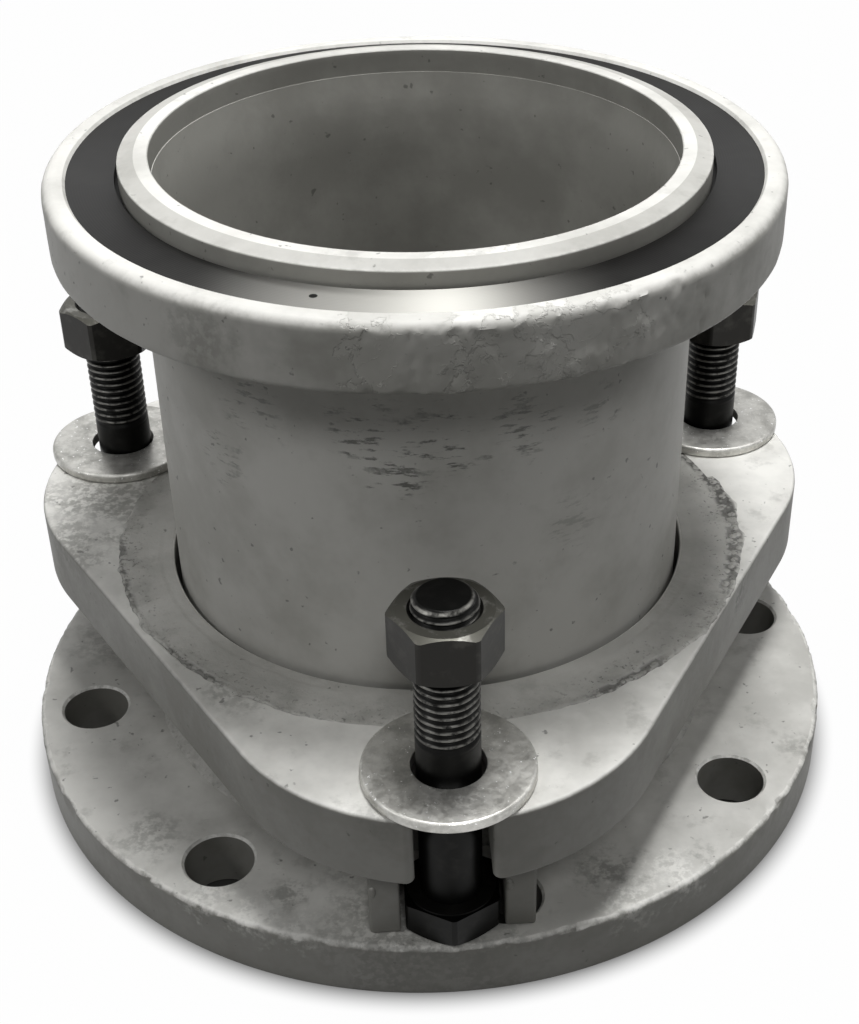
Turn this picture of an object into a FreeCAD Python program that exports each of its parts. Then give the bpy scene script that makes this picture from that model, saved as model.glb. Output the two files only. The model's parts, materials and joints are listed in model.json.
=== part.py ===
import FreeCAD, Part
import math
import os

# Breakable spool coupling, millimetres, +Z up.
# The origin is the centre of the base flange's underside, on the flow axis.
# A flanged socket with a three-lobed plate holds a loose spool that lifts straight out,
# and three bolts slide outward through open slots in the lobes.
# The lobe at the front points along -Y.

V = FreeCAD.Vector
Z_AXIS = V(0, 0, 1)

# Base flange: a plain bored disc with eight bolt holes
flange_outer_r = 139.7
flange_thickness = 20.8
flange_edge_bevel = 1.5
flange_hole_r = 11.1
flange_hole_rim_gap = 19.05
flange_hole_count = 8
flange_hole_start_deg = 8.2

# Flow bore, the same through the flange and the spool
flow_bore_r = 77.0

# Spool pipe: one plain length that stands in the socket
pipe_wall = 8.1
pipe_end_chamfer = 2.0
spool_length = 187.7

# Socket neck welded up from the flange, with the running gap round the spool pipe
socket_gap = 1.6
neck_wall = 6.8
neck_mouth_chamfer = 0.8
plate_underside_gap = 32.5

# Flat gasket under the end of the spool pipe
gasket_thickness = 3.0
gasket_bore_margin = 0.6

# Square-cut seal ring in a groove round the spool pipe
seal_section = 5.3
seal_groove_width = 6.6
seal_groove_height = 20.0
seal_gap = 0.3

# Three-lobed plate round the neck
plate_thickness = 25.0
plate_corner_r = 70.0
plate_lobe_overhang = 7.5
plate_edge_bevel = 1.2
plate_fit_gap = 0.05
slot_width = 22.4
slot_depth = 25.7
slot_mouth_bevel = 2.0

# Welds: leg of each fillet, and the wide groove weld ground flush with the plate
fillet_leg = 4.6
groove_weld_width = 12.0
groove_weld_depth = 7.0

# Guide bars that stand in pairs under each lobe and keep the bolt heads from turning
guide_thickness = 9.4
guide_side_gap = 1.5
guide_neck_gap = 7.5
guide_lobe_gap = 15.2

# End ring of the spool: rim, turned face, relief groove and raised lip
ring_outer_r = 110.7
ring_height = 20.8
ring_top_ease = 2.8
ring_top_ease_middle = 0.9
ring_bottom_bevel = 1.4
ring_rim_width = 6.3
ring_face_step = 1.0
lip_outer_r = 88.4
lip_height = 5.9
lip_bevel_width = 5.0
lip_bevel_drop = 0.7
lip_bore_chamfer = 2.0
relief_width = 1.2
relief_depth = 2.4
socket_lip_depth = 1.6
ring_fit_gap = 0.05

# Hexagon bolts, their nuts and the large loose washers
bolt_r = 9.525
bolt_length = 108.0
bolt_end_chamfer = 1.9
hex_across_flats = 28.6
hex_chamfer_deg = 30.0
hex_barrel_margin = 1.0
head_height = 11.9
nut_height = 16.3
nut_fit_gap = 0.05
nut_mouth_chamfer = 0.9
washer_outer_r = 25.6
washer_hole_r = 11.0
washer_thickness = 3.6
washer_edge_bevel = 0.8

# Where each loose set stands: name, lobe direction, how far the bolt and the washer stand out
# from the slot's round end, the length of bolt that shows above the nut, and the nut's turn
front_bolt_out = 2.3
front_washer_out = 3.5
front_bolt_show = 4.4
right_bolt_out = 4.5
right_washer_out = 4.9
right_bolt_show = 6.0
left_bolt_out = 4.5
left_washer_out = 5.5
left_bolt_show = 2.4
bolt_sets = (
    ("front", -90.0, front_bolt_out, front_washer_out, front_bolt_show, 0.0),
    ("right", 30.0, right_bolt_out, right_washer_out, right_bolt_show, 13.0),
    ("left", 150.0, left_bolt_out, left_washer_out, left_bolt_show, 16.0),
)

# Heights and radii that follow from the sizes above
pipe_outer_r = flow_bore_r + pipe_wall
neck_inner_r = pipe_outer_r + socket_gap
neck_outer_r = neck_inner_r + neck_wall
plate_bottom_z = flange_thickness + plate_underside_gap
plate_top_z = plate_bottom_z + plate_thickness
plate_lobe_reach = flange_outer_r + plate_lobe_overhang
slot_root_r = plate_lobe_reach - slot_depth
guide_outer_r = plate_lobe_reach - guide_lobe_gap
guide_inner_r = neck_outer_r + guide_neck_gap
flange_hole_circle_r = flange_outer_r - flange_hole_rim_gap
lobe_directions = [place[1] for place in bolt_sets]
bolt_end_z = flange_thickness + head_height + bolt_length
seat_z = flange_thickness + gasket_thickness
pipe_top_z = seat_z + spool_length
ring_face_z = pipe_top_z + socket_lip_depth
ring_top_z = ring_face_z + ring_face_step
ring_bottom_z = ring_top_z - ring_height
lip_top_z = ring_face_z + lip_height


def polar(radius, degrees, z=0.0):
    angle = math.radians(degrees)
    return V(radius * math.cos(angle), radius * math.sin(angle), z)


def rounded_wire(corners, place):
    """Closed wire through 2-D corners (a, b, round), each corner rounded with its own radius."""
    count = len(corners)
    bends = []
    for i, (a, b, radius) in enumerate(corners):
        here = V(a, b, 0)
        back = (V(*corners[i - 1][:2], 0) - here).normalize()
        ahead = (V(*corners[(i + 1) % count][:2], 0) - here).normalize()
        if radius <= 0:
            bends.append((here, here, here))
            continue
        half = back.getAngle(ahead) / 2
        start = here + back * (radius / math.tan(half))
        end = here + ahead * (radius / math.tan(half))
        middle = here + (back + ahead).normalize() * (radius / math.sin(half) - radius)
        bends.append((start, middle, end))
    edges = []
    for i, (start, middle, end) in enumerate(bends):
        if not start.isEqual(end, 1e-6):
            edges.append(Part.Arc(place(start), place(middle), place(end)).toShape())
        following = bends[(i + 1) % count][0]
        if not end.isEqual(following, 1e-6):
            edges.append(Part.LineSegment(place(end), place(following)).toShape())
    return Part.Wire(edges)


def turned(corners):
    """Solid of revolution about Z from a closed profile of (radius, height, round) corners."""
    wire = rounded_wire(corners, lambda p: V(p.x, 0, p.y))
    return Part.Face(wire).revolve(V(0, 0, 0), Z_AXIS, 360)


def hexagon_blank(height):
    """Hexagonal block with flats facing along X and a corner along Y, both ends conically chamfered."""
    flat = hex_across_flats / 2
    corner = flat / math.cos(math.radians(30))
    points = [polar(corner, 60 * i + 30) for i in range(7)]
    block = Part.Face(Part.makePolygon(points)).extrude(V(0, 0, height))
    barrel_r = corner + hex_barrel_margin
    drop = (barrel_r - flat) * math.tan(math.radians(hex_chamfer_deg))
    barrel = turned([
        (0, 0, 0),
        (flat, 0, 0),
        (barrel_r, drop, 0),
        (barrel_r, height - drop, 0),
        (flat, height, 0),
        (0, height, 0),
    ])
    return block.common(barrel)


def at_lobe(shape, degrees, radius=0.0, z=0.0):
    """Turn a shape made about Z with its outward side along -Y to a lobe, and move it out and up."""
    shape.translate(V(0, -radius, z))
    shape.rotate(V(0, 0, 0), Z_AXIS, degrees + 90)
    return shape


def make_base_flange():
    flange = turned([
        (flow_bore_r, 0, 0),
        (flange_outer_r - flange_edge_bevel, 0, 0),
        (flange_outer_r, flange_edge_bevel, 0),
        (flange_outer_r, flange_thickness - flange_edge_bevel, 0),
        (flange_outer_r - flange_edge_bevel, flange_thickness, 0),
        (flow_bore_r, flange_thickness, 0),
    ])
    drill = Part.makeCylinder(flange_hole_r, flange_thickness)
    for i in range(flange_hole_count):
        hole = drill.copy()
        hole.translate(polar(flange_hole_circle_r, flange_hole_start_deg + 360.0 / flange_hole_count * i))
        flange = flange.cut(hole)
    return flange


def make_neck_tube():
    return turned([
        (neck_inner_r, flange_thickness, 0),
        (neck_outer_r, flange_thickness, 0),
        (neck_outer_r, plate_top_z, 0),
        (neck_inner_r + neck_mouth_chamfer, plate_top_z, 0),
        (neck_inner_r, plate_top_z - neck_mouth_chamfer, 0),
    ])


def make_lobed_plate():
    # The outline is an equilateral triangle with its corners rounded off to the three lobes
    corner_reach = plate_lobe_reach + plate_corner_r
    corners = []
    for degrees in lobe_directions:
        tip = polar(corner_reach, degrees)
        corners.append((tip.x, tip.y, plate_corner_r))
    outline = rounded_wire(corners, lambda p: V(p.x, p.y, plate_bottom_z))
    plate = Part.Face(outline).extrude(V(0, 0, plate_thickness))
    slot_tool = Part.makeCylinder(slot_width / 2, plate_thickness)
    slot_run = plate_lobe_reach - slot_root_r + plate_corner_r
    slot_tool = slot_tool.fuse(Part.makeBox(slot_width, slot_run, plate_thickness,
                                            V(-slot_width / 2, -slot_run, 0)))
    for degrees in lobe_directions:
        plate = plate.cut(at_lobe(slot_tool.copy(), degrees, slot_root_r, plate_bottom_z))
    mouths = [edge for edge in plate.Edges if is_slot_mouth(edge)]
    plate = plate.makeChamfer(slot_mouth_bevel, mouths)
    rims = [edge for edge in plate.Edges if is_plate_rim(edge)]
    plate = plate.makeChamfer(plate_edge_bevel, rims)
    hole_r = neck_outer_r + plate_fit_gap
    bevel = turned([
        (0, plate_bottom_z, 0),
        (hole_r, plate_bottom_z, 0),
        (hole_r, plate_top_z - groove_weld_depth, 0),
        (neck_outer_r + groove_weld_width, plate_top_z, 0),
        (0, plate_top_z, 0),
    ])
    return plate.cut(bevel)


def is_slot_mouth(edge):
    """Upright edge where a slot's side meets the rounded end of a lobe."""
    upright = edge.BoundBox.ZLength > plate_thickness / 2
    middle = edge.BoundBox.Center
    return upright and math.hypot(middle.x, middle.y) > slot_root_r + slot_width / 2


def is_plate_rim(edge):
    """Edge in the plate's top or bottom face."""
    return edge.BoundBox.ZLength < plate_thickness / 2


def make_neck_base_weld():
    return turned([
        (neck_outer_r, flange_thickness, 0),
        (neck_outer_r + fillet_leg, flange_thickness, 0),
        (neck_outer_r, flange_thickness + fillet_leg, 0),
    ])


def make_plate_under_weld():
    return turned([
        (neck_outer_r, plate_bottom_z, 0),
        (neck_outer_r, plate_bottom_z - fillet_leg, 0),
        (neck_outer_r + fillet_leg, plate_bottom_z, 0),
    ])


def make_plate_top_weld():
    return turned([
        (neck_outer_r, plate_top_z, 0),
        (neck_outer_r + plate_fit_gap, plate_top_z - groove_weld_depth, 0),
        (neck_outer_r + groove_weld_width, plate_top_z, 0),
    ])


def make_head_guide(side):
    inner = hex_across_flats / 2 + guide_side_gap
    x = inner if side > 0 else -inner - guide_thickness
    return Part.makeBox(guide_thickness, guide_outer_r - guide_inner_r, plate_underside_gap,
                        V(x, -guide_outer_r, flange_thickness))


def make_seat_gasket():
    bore_r = flow_bore_r + gasket_bore_margin
    return turned([
        (bore_r, flange_thickness, 0),
        (pipe_outer_r, flange_thickness, 0),
        (pipe_outer_r, seat_z, 0),
        (bore_r, seat_z, 0),
    ])


def make_spool_pipe():
    groove_bottom_z = seat_z + seal_groove_height
    groove_floor_r = neck_inner_r - seal_section - 2 * seal_gap
    return turned([
        (flow_bore_r, seat_z, 0),
        (pipe_outer_r - pipe_end_chamfer, seat_z, 0),
        (pipe_outer_r, seat_z + pipe_end_chamfer, 0),
        (pipe_outer_r, groove_bottom_z, 0),
        (groove_floor_r, groove_bottom_z, 0),
        (groove_floor_r, groove_bottom_z + seal_groove_width, 0),
        (pipe_outer_r, groove_bottom_z + seal_groove_width, 0),
        (pipe_outer_r, pipe_top_z, 0),
        (flow_bore_r, pipe_top_z, 0),
    ])


def make_seal_ring():
    outer_r = neck_inner_r - seal_gap
    bottom_z = seat_z + seal_groove_height + (seal_groove_width - seal_section) / 2
    return turned([
        (outer_r - seal_section, bottom_z, 0),
        (outer_r, bottom_z, 0),
        (outer_r, bottom_z + seal_section, 0),
        (outer_r - seal_section, bottom_z + seal_section, 0),
    ])


def make_end_ring():
    socket_r = pipe_outer_r + ring_fit_gap
    bevel_r = lip_outer_r - lip_bevel_width
    rim_inner_r = ring_outer_r - ring_rim_width
    return turned([
        (socket_r, ring_bottom_z, 0),
        (ring_outer_r - ring_bottom_bevel, ring_bottom_z, 0),
        (ring_outer_r, ring_bottom_z + ring_bottom_bevel, 0),
        (ring_outer_r, ring_top_z - ring_top_ease, 0),
        (ring_outer_r - ring_top_ease_middle, ring_top_z - ring_top_ease_middle, 0),
        (ring_outer_r - ring_top_ease, ring_top_z, 0),
        (rim_inner_r, ring_top_z, 0),
        (rim_inner_r - ring_face_step, ring_face_z, 0),
        (lip_outer_r + relief_width, ring_face_z, 0),
        (lip_outer_r + relief_width, ring_face_z - relief_depth, 0),
        (lip_outer_r, ring_face_z - relief_depth, 0),
        (lip_outer_r, lip_top_z - lip_bevel_drop, 0),
        (bevel_r, lip_top_z, 0),
        (flow_bore_r + lip_bore_chamfer, lip_top_z, 0),
        (flow_bore_r, lip_top_z - lip_bore_chamfer, 0),
        (flow_bore_r, pipe_top_z, 0),
        (socket_r, pipe_top_z, 0),
    ])


def make_ring_weld():
    return turned([
        (pipe_outer_r, ring_bottom_z, 0),
        (pipe_outer_r, ring_bottom_z - fillet_leg, 0),
        (pipe_outer_r + fillet_leg, ring_bottom_z, 0),
    ])


def make_bolt():
    """Bolt standing on its head, with the bearing face of the head upward."""
    shank = turned([
        (0, 0, 0),
        (bolt_r, 0, 0),
        (bolt_r, bolt_length - bolt_end_chamfer, 0),
        (bolt_r - bolt_end_chamfer, bolt_length, 0),
        (0, bolt_length, 0),
    ])
    shank.translate(V(0, 0, head_height))
    return hexagon_blank(head_height).fuse(shank).removeSplitter()


def make_nut(turn):
    """Nut with its underside at zero; at turn 0 a flat faces outward."""
    bore_r = bolt_r + nut_fit_gap
    mouth_r = bore_r + nut_mouth_chamfer
    drill = turned([
        (0, 0, 0),
        (mouth_r, 0, 0),
        (bore_r, nut_mouth_chamfer, 0),
        (bore_r, nut_height - nut_mouth_chamfer, 0),
        (mouth_r, nut_height, 0),
        (0, nut_height, 0),
    ])
    nut = hexagon_blank(nut_height).cut(drill)
    nut.rotate(V(0, 0, 0), Z_AXIS, 30 + turn)
    return nut


def make_washer():
    return turned([
        (washer_hole_r, 0, 0),
        (washer_outer_r, 0, 0),
        (washer_outer_r, washer_thickness - washer_edge_bevel, 0),
        (washer_outer_r - washer_edge_bevel, washer_thickness, 0),
        (washer_hole_r, washer_thickness, 0),
    ])


def main():
    os.makedirs("parts", exist_ok=True)
    pieces = {
        "base_flange": make_base_flange(),
        "neck_tube": make_neck_tube(),
        "lobed_plate": make_lobed_plate(),
        "neck_base_weld": make_neck_base_weld(),
        "plate_under_weld": make_plate_under_weld(),
        "plate_top_weld": make_plate_top_weld(),
        "seat_gasket": make_seat_gasket(),
        "spool_pipe": make_spool_pipe(),
        "seal_ring": make_seal_ring(),
        "end_ring": make_end_ring(),
        "ring_weld": make_ring_weld(),
    }
    for name, degrees, bolt_out, washer_out, bolt_show, nut_turn in bolt_sets:
        bolt_at = slot_root_r + bolt_out
        washer_at = slot_root_r + washer_out
        nut_z = bolt_end_z - bolt_show - nut_height
        pieces["head_guide_%s_a" % name] = at_lobe(make_head_guide(-1), degrees)
        pieces["head_guide_%s_b" % name] = at_lobe(make_head_guide(1), degrees)
        pieces["bolt_%s" % name] = at_lobe(make_bolt(), degrees, bolt_at, flange_thickness)
        pieces["washer_%s" % name] = at_lobe(make_washer(), degrees, washer_at, plate_top_z)
        pieces["nut_%s" % name] = at_lobe(make_nut(nut_turn), degrees, bolt_at, nut_z)
    for name, shape in pieces.items():
        shape.exportStep("parts/%s.step" % name)


main()
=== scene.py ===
"""Breakable spool coupling: visual pieces, finishes and studio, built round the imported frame."""

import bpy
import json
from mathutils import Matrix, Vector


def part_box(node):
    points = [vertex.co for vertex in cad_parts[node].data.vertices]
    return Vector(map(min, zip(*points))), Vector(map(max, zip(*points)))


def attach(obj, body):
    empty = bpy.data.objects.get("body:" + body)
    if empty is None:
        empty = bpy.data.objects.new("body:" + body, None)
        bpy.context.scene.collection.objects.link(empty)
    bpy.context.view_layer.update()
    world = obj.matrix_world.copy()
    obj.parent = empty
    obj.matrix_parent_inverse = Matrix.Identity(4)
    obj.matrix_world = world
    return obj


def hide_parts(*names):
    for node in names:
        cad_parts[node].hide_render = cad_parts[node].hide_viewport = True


bl_info = {
    "name": "Breakable Spool Coupling",
    "version": (1, 0, 0),
    "blender": (4, 5, 0),
    "location": "3D View > Sidebar > Coupling",
    "description": "Painted steel socket, loose spool and slide-out bolts, built round a packed frame",
    "category": "Add Mesh",
}

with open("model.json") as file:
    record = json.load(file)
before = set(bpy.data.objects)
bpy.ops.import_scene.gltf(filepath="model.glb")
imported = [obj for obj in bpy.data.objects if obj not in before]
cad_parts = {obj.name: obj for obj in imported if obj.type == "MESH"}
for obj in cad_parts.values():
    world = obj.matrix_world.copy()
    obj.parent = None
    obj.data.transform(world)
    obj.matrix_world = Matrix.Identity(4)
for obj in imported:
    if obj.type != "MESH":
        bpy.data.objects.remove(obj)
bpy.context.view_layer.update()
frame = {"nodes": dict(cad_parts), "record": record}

import json
import math

import bmesh
import bpy
from mathutils import Matrix, Vector, noise

MM = 0.001
SET_NAMES = ("front", "right", "left")
LOBE_DEGREES = {"front": -90.0, "right": 30.0, "left": 150.0}
NUT_TURNS = {"front": 0.0, "right": 13.0, "left": 16.0}
BORE_FLARE = 2.2 * MM
FLARE_HEIGHT = 14 * MM
WELD_ROOT = 0.2 * MM
BOLT_R = 9.5 * MM
HEAD_HEIGHT = 11.9 * MM
HEAD_FACE = 0.5 * MM
HEX_EASE = 0.35 * MM
NUT_BORE_R = 9.6 * MM
NUT_SINK = 0.8 * MM
WASHER_HOLE_R = 11 * MM
GUIDE_THICKNESS = 9.4 * MM
GUIDE_INNER_R = 101 * MM
GUIDE_GAP = 3 * MM
GUIDE_BEAD = (1.2 * MM, 1.2 * MM, 2.4 * MM)
THREAD_DEPTH = 1.35 * MM
BOLT_CHAMFER = 1.9 * MM
GROOVE_DEPTH = 5.9 * MM
GROOVE_PLAY = 0.65 * MM
FINE, PLAIN = 720, 360

# Degrees: half the plate's arc that a washer needs free and its fade, and the ring's chipped arc
WASHER_ARC, WASHER_FADE = 16, 5
CHIP_MIDDLE, CHIP_ARC = -74, 26
# Heights in mm at which marks lie: the flange's top, the plate's top and the turned face
FLANGE_MM, PLATE_MM, RING_MM = 20.8, 78.3, 213.1
# Crusty stretches of the ground weld's edge: x, y and reach in mm, and their share
CRUSTS = (
    (103, 22, 36, 1.0), (100, -25, 24, 0.75), (58, -88, 20, 0.75),
    (-104, -18, 28, 0.75), (-78, -72, 18, 0.75),
)
METAL = {"Metallic": 0.85}

# Lamps: place in metres, width in metres and power in watts
LAMPS = {
    "overhead": ((0.14, 0.06, 1.7), 0.4, 23.0),
    "front": ((0.05, -1.2, 1.42), 0.4, 4.5),
    "back": ((-0.3, 1.2, 1.4), 0.5, 2.2),
    "left": ((-1.2, -0.35, 1.15), 0.4, 4.3),
    "right": ((1.2, 0.0, 1.1), 0.4, 2.7),
}
LAMP_TARGET = Vector((0, 0, 0.1))

# Camera fitted to the photograph: place in metres, turns in radians, sensor in mm and the rest in pixels
CAMERA_PLACE = (-0.01544, -0.49126, 0.41025)
CAMERA_YAW, CAMERA_PITCH = 0.081905, -0.622017
IMAGE_HEIGHT, FOCAL_LENGTH = 1024, 1711.33
CENTRE_OFFSET = (-70.2, 63.7)
SENSOR_WIDTH = 36.0

# Floor in metres, and how bright it and the world are; the world as a light, in reflections and in view
FLOOR_SIZE = 30.0
FLOOR_SHADOW = (0.134, 0.148)
FLOOR_GLOW, FLOOR_SHARE = 1.06, 0.93
WORLD_GLOWS = (0.05, 0.7, 1.0)


# Places read from the frame

BOXES = {name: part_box(name) for name in frame["nodes"]}


def middle(node):
    low, high = BOXES[node]
    return (low + high) / 2


def low_z(node):
    return BOXES[node][0].z


def high_z(node):
    return BOXES[node][1].z


def heights(node):
    return low_z(node), high_z(node)


def outer_r(node):
    low, high = BOXES[node]
    return (high.x - low.x) / 2


def mount(name):
    return next(m for m in frame["record"]["mounts"] if m["name"] == name)


# Colours and shader nodes

def linear(hex_colour):
    """Linear RGBA of an sRGB hex colour."""
    channels = [int(hex_colour[i:i + 2], 16) / 255 for i in (1, 3, 5)]
    return tuple(c / 12.92 if c <= 0.04045 else ((c + 0.055) / 1.055) ** 2.4 for c in channels) + (1.0,)


def source(value):
    """The socket that a Value or a node stands for, the colour of a hex code, or the value itself."""
    if isinstance(value, Value):
        return value.socket
    if isinstance(value, bpy.types.Node):
        return value.outputs[0]
    if isinstance(value, str) and value.startswith("#"):
        return linear(value)
    return value


def add(tree, kind, inputs=None, **settings):
    """One node with its settings and inputs."""
    made = tree.nodes.new(kind)
    for name, value in settings.items():
        setattr(made, name, value)
    for key, value in (inputs or {}).items():
        given = source(value)
        if isinstance(given, bpy.types.NodeSocket):
            tree.links.new(given, made.inputs[key])
        else:
            made.inputs[key].default_value = given
    return made


def add_value(tree, kind, output, inputs=None, **settings):
    """The named output of a new node."""
    return Value(tree, add(tree, kind, inputs, **settings).outputs[output])


class Value:
    """A node's output that can be reckoned with, so that a node tree reads as arithmetic."""

    def __init__(self, tree, socket):
        self.tree = tree
        self.socket = socket

    def maths(self, operation, *others):
        inputs = dict(enumerate((self,) + others))
        return add_value(self.tree, "ShaderNodeMath", 0, inputs, operation=operation)

    def vector(self, operation, output, *others):
        inputs = dict(enumerate((self,) + others))
        return add_value(self.tree, "ShaderNodeVectorMath", output, inputs, operation=operation)

    def ramp(self, start, end, low=0.0, high=1.0, kind="LINEAR"):
        """From low at start to high at end, and level beyond them."""
        return add_value(self.tree, "ShaderNodeMapRange", "Result", {
            "Value": self, "From Min": start, "From Max": end, "To Min": low, "To Max": high,
        }, interpolation_type=kind)

    def step(self, start, end):
        """0 before start and 1 past end, with a soft change between them."""
        return self.ramp(start, end, kind="SMOOTHSTEP")

    def most(self, other):
        return self.maths("MAXIMUM", other)

    def __add__(self, other):
        return self.maths("ADD", other)

    def __sub__(self, other):
        return self.maths("SUBTRACT", other)

    def __mul__(self, other):
        return self.maths("MULTIPLY", other)

    def __truediv__(self, other):
        return self.maths("DIVIDE", other)

    def __abs__(self):
        return self.maths("ABSOLUTE")


def per_metre(size_mm):
    """Texture scale that gives features of about this size."""
    return 1.0 / (size_mm * MM)


def new_material(name):
    """An empty material and the place on the piece that its nodes start from."""
    material = bpy.data.materials.new(name)
    material.use_nodes = True
    material.node_tree.nodes.clear()
    return material, add_value(material.node_tree, "ShaderNodeTexCoord", "Object")


def cloud(place, size_mm, detail=4.0, roughness=0.55):
    return add_value(place.tree, "ShaderNodeTexNoise", "Fac", {
        "Vector": place, "Scale": per_metre(size_mm), "Detail": detail, "Roughness": roughness,
    })


def cells(place, size_mm, output, **settings):
    inputs = {"Vector": place, "Scale": per_metre(size_mm)}
    return add_value(place.tree, "ShaderNodeTexVoronoi", output, inputs, **settings)


def tint(amount, under, over):
    """Colour under, covered with colour over by the amount."""
    inputs = {"Factor": amount, "A": under, "B": over}
    return add_value(amount.tree, "ShaderNodeMix", "Result", inputs, data_type="RGBA")


def finish_shader(coat, roughness, height, strength, depth_mm, extra=None):
    """Close a material with its colour, its sheen and a relief of this depth."""
    tree = height.tree
    bump = add(tree, "ShaderNodeBump", {"Height": height, "Strength": strength, "Distance": depth_mm * MM})
    inputs = {"Base Color": coat, "Roughness": roughness, "Normal": bump, **(extra or {})}
    shader = add(tree, "ShaderNodeBsdfPrincipled", inputs)
    add(tree, "ShaderNodeOutputMaterial", {"Surface": shader})


def normal_z(tree):
    normal = add_value(tree, "ShaderNodeNewGeometry", "Normal")
    return add_value(tree, "ShaderNodeSeparateXYZ", "Z", {"Vector": normal})


def near(place, centre_mm, reach_mm, ragged_mm=0.0, soft=0.1):
    """1 at a spot and 0 past its reach, with a ragged border."""
    away = place.vector("DISTANCE", "Value", [c * MM for c in centre_mm])
    if ragged_mm:
        away = away + (cloud(place, ragged_mm, 6, 0.65) - 0.5) * (ragged_mm * 5 * MM)
    return away.step(reach_mm * MM, reach_mm * (1 - soft) * MM)


def from_axis(place):
    """Distance from the flow axis."""
    return place.vector("MULTIPLY", "Vector", (1, 1, 0)).vector("LENGTH", "Value")


def crack_lines(place, cell_mm, width=0.02):
    """Thin wandering lines between flakes of paint."""
    inputs = {"Vector": place, "Scale": per_metre(cell_mm * 0.4), "Detail": 4.0}
    wander = add_value(place.tree, "ShaderNodeTexNoise", "Color", inputs)
    moved = wander.vector("MULTIPLY_ADD", "Vector", (cell_mm * 0.8 * MM,) * 3, place)
    return cells(moved, cell_mm, "Distance", feature="DISTANCE_TO_EDGE").step(width, 0.0)


def ground_seam(place, coat, height, patch, grime, seam_r):
    """Coat and height with the pits, the crust and the stain along the edge of a ground weld."""
    off = abs(from_axis(place) - seam_r * MM)
    crusty, *others = [near(place, (x, y, PLATE_MM), reach, 0, 0.5) * share for x, y, reach, share in CRUSTS]
    for other in others:
        crusty = crusty.most(other)
    grain = cells(place, 2.6, "Distance")
    band = off.step(3.4 * MM, 1.8 * MM) * crusty
    coat = tint(grain.step(0.42, 0.62) * band * 0.8, coat, "#3A3A36")
    zone = off.step(13 * MM, 5 * MM)
    holes = off.step(3.5 * MM, 0.4 * MM) * cloud(place, 2.0, 3, 0.6).step(0.56, 0.64)
    sparse = zone * cloud(place, 1.3, 2, 0.5).step(0.63, 0.68)
    dark = holes.most(sparse) * (crusty * 0.6 + 0.4)
    coat = tint(dark * 0.65, coat, "#44443F")
    coat = tint(zone * patch.step(0.45, 0.6) * 0.3, coat, grime)
    return coat, height - grain * band * 7.0 - dark * 2.5


def painted_steel(name, side, dust, grime, edge, wear=0.85, grain_mm=2.2, relief_mm=0.25, marks=(), scars=(),
                  seam_r=None, streaks=False):
    """Brushed grey paint on steel plate: matt sheen, uneven coat, pale dust on what faces up, edges worn
    pale.

    Places and sizes are in mm. marks hold (centre, reach, colour, strength): smudges, worn spots and painted
    shadow, or slanting scrapes with streaks. scars hold (centre, reach, colour): paint that has flaked along
    cracks.
    seam_r is the radius of the edge of a ground weld, with its pits and crust.
    """
    material, place = new_material(name)
    up = normal_z(place.tree)
    broad = cloud(place, 45, 5, 0.6)
    patch = cloud(place, 14, 6, 0.65)
    fine = cloud(place, grain_mm, 3, 0.6)
    coat = tint(broad.step(0.38, 0.66), side, grime)
    upward = up.step(0.3, 0.95)
    coat = tint(upward * broad.step(0.68, 0.3) * 0.45 + upward * 0.55, coat, dust)
    coat = tint(patch.step(0.56, 0.7) * 0.28, coat, grime)
    coat = tint(cloud(place, 3.2, 2, 0.5).step(0.7, 0.76) * 0.6, coat, "#4A4A46")
    rounding = up.step(0.25, 0.55) * up.step(0.985, 0.93)
    coat = tint(rounding * cloud(place, 5, 6, 0.7).step(0.38, 0.62) * wear, coat, edge)
    height = patch * 0.8 + fine * 0.3
    blots = fine.step(0.36, 0.58)
    if streaks:
        inputs = {"Vector": place, "Rotation": (0, 0.5, 0), "Scale": (0.45, 0.45, 1.9)}
        slant = add_value(place.tree, "ShaderNodeMapping", "Vector", inputs)
        blots = cloud(slant, 4.5, 6, 0.7).step(0.52, 0.6)
    for centre, reach, colour, strength in marks:
        coat = tint(near(place, centre, reach, reach * 0.45, 0.8) * blots * strength, coat, colour)
    for centre, reach, colour in scars:
        bare = near(place, centre, reach, 12)
        lines = bare * crack_lines(place, reach * 0.9, 0.012) * patch.step(0.42, 0.56)
        coat = tint(bare * 0.3, coat, colour)
        coat = tint(lines, coat, "#C9C8C2")
        height = height - bare * 2.2 + lines * 1.6
    if seam_r:
        coat, height = ground_seam(place, coat, height, patch, grime, seam_r)
    finish_shader(coat, fine.ramp(0, 1, 0.45, 0.65), height, 0.55, relief_mm)
    return material


def turned_steel(name, colour, groove_mm=0.8):
    """Bare face turned on a lathe: fine circular grooves, dull with oil, and a painted reflection in one
    sector.
    """
    material, place = new_material(name)
    groove = (from_axis(place) * (2 * math.pi / (groove_mm * MM))).maths("SINE")
    coat = tint(cloud(place, 18, 6, 0.65).step(0.4, 0.7) * 0.6, colour, "#2C2C2A")
    painted_sheen, speck = (-8, -98, RING_MM), (-30.5, -90.7, RING_MM)
    # Painted reflection: a pale sector at the front stands in for the lamps' glint on the turned grooves.
    coat = tint(near(place, painted_sheen, 62, 0, 0.9), coat, "#A3A29D")
    coat = tint(near(place, speck, 1.2), coat, "#0C0C0A")
    around = add_value(place.tree, "ShaderNodeTangent", "Tangent", direction_type="RADIAL", axis="Z")
    finish_shader(coat, 0.42, groove, 0.2, 0.02, {
        **METAL, "Anisotropic": 0.85, "Anisotropic Rotation": 0.25, "Tangent": around,
    })
    return material


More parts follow.
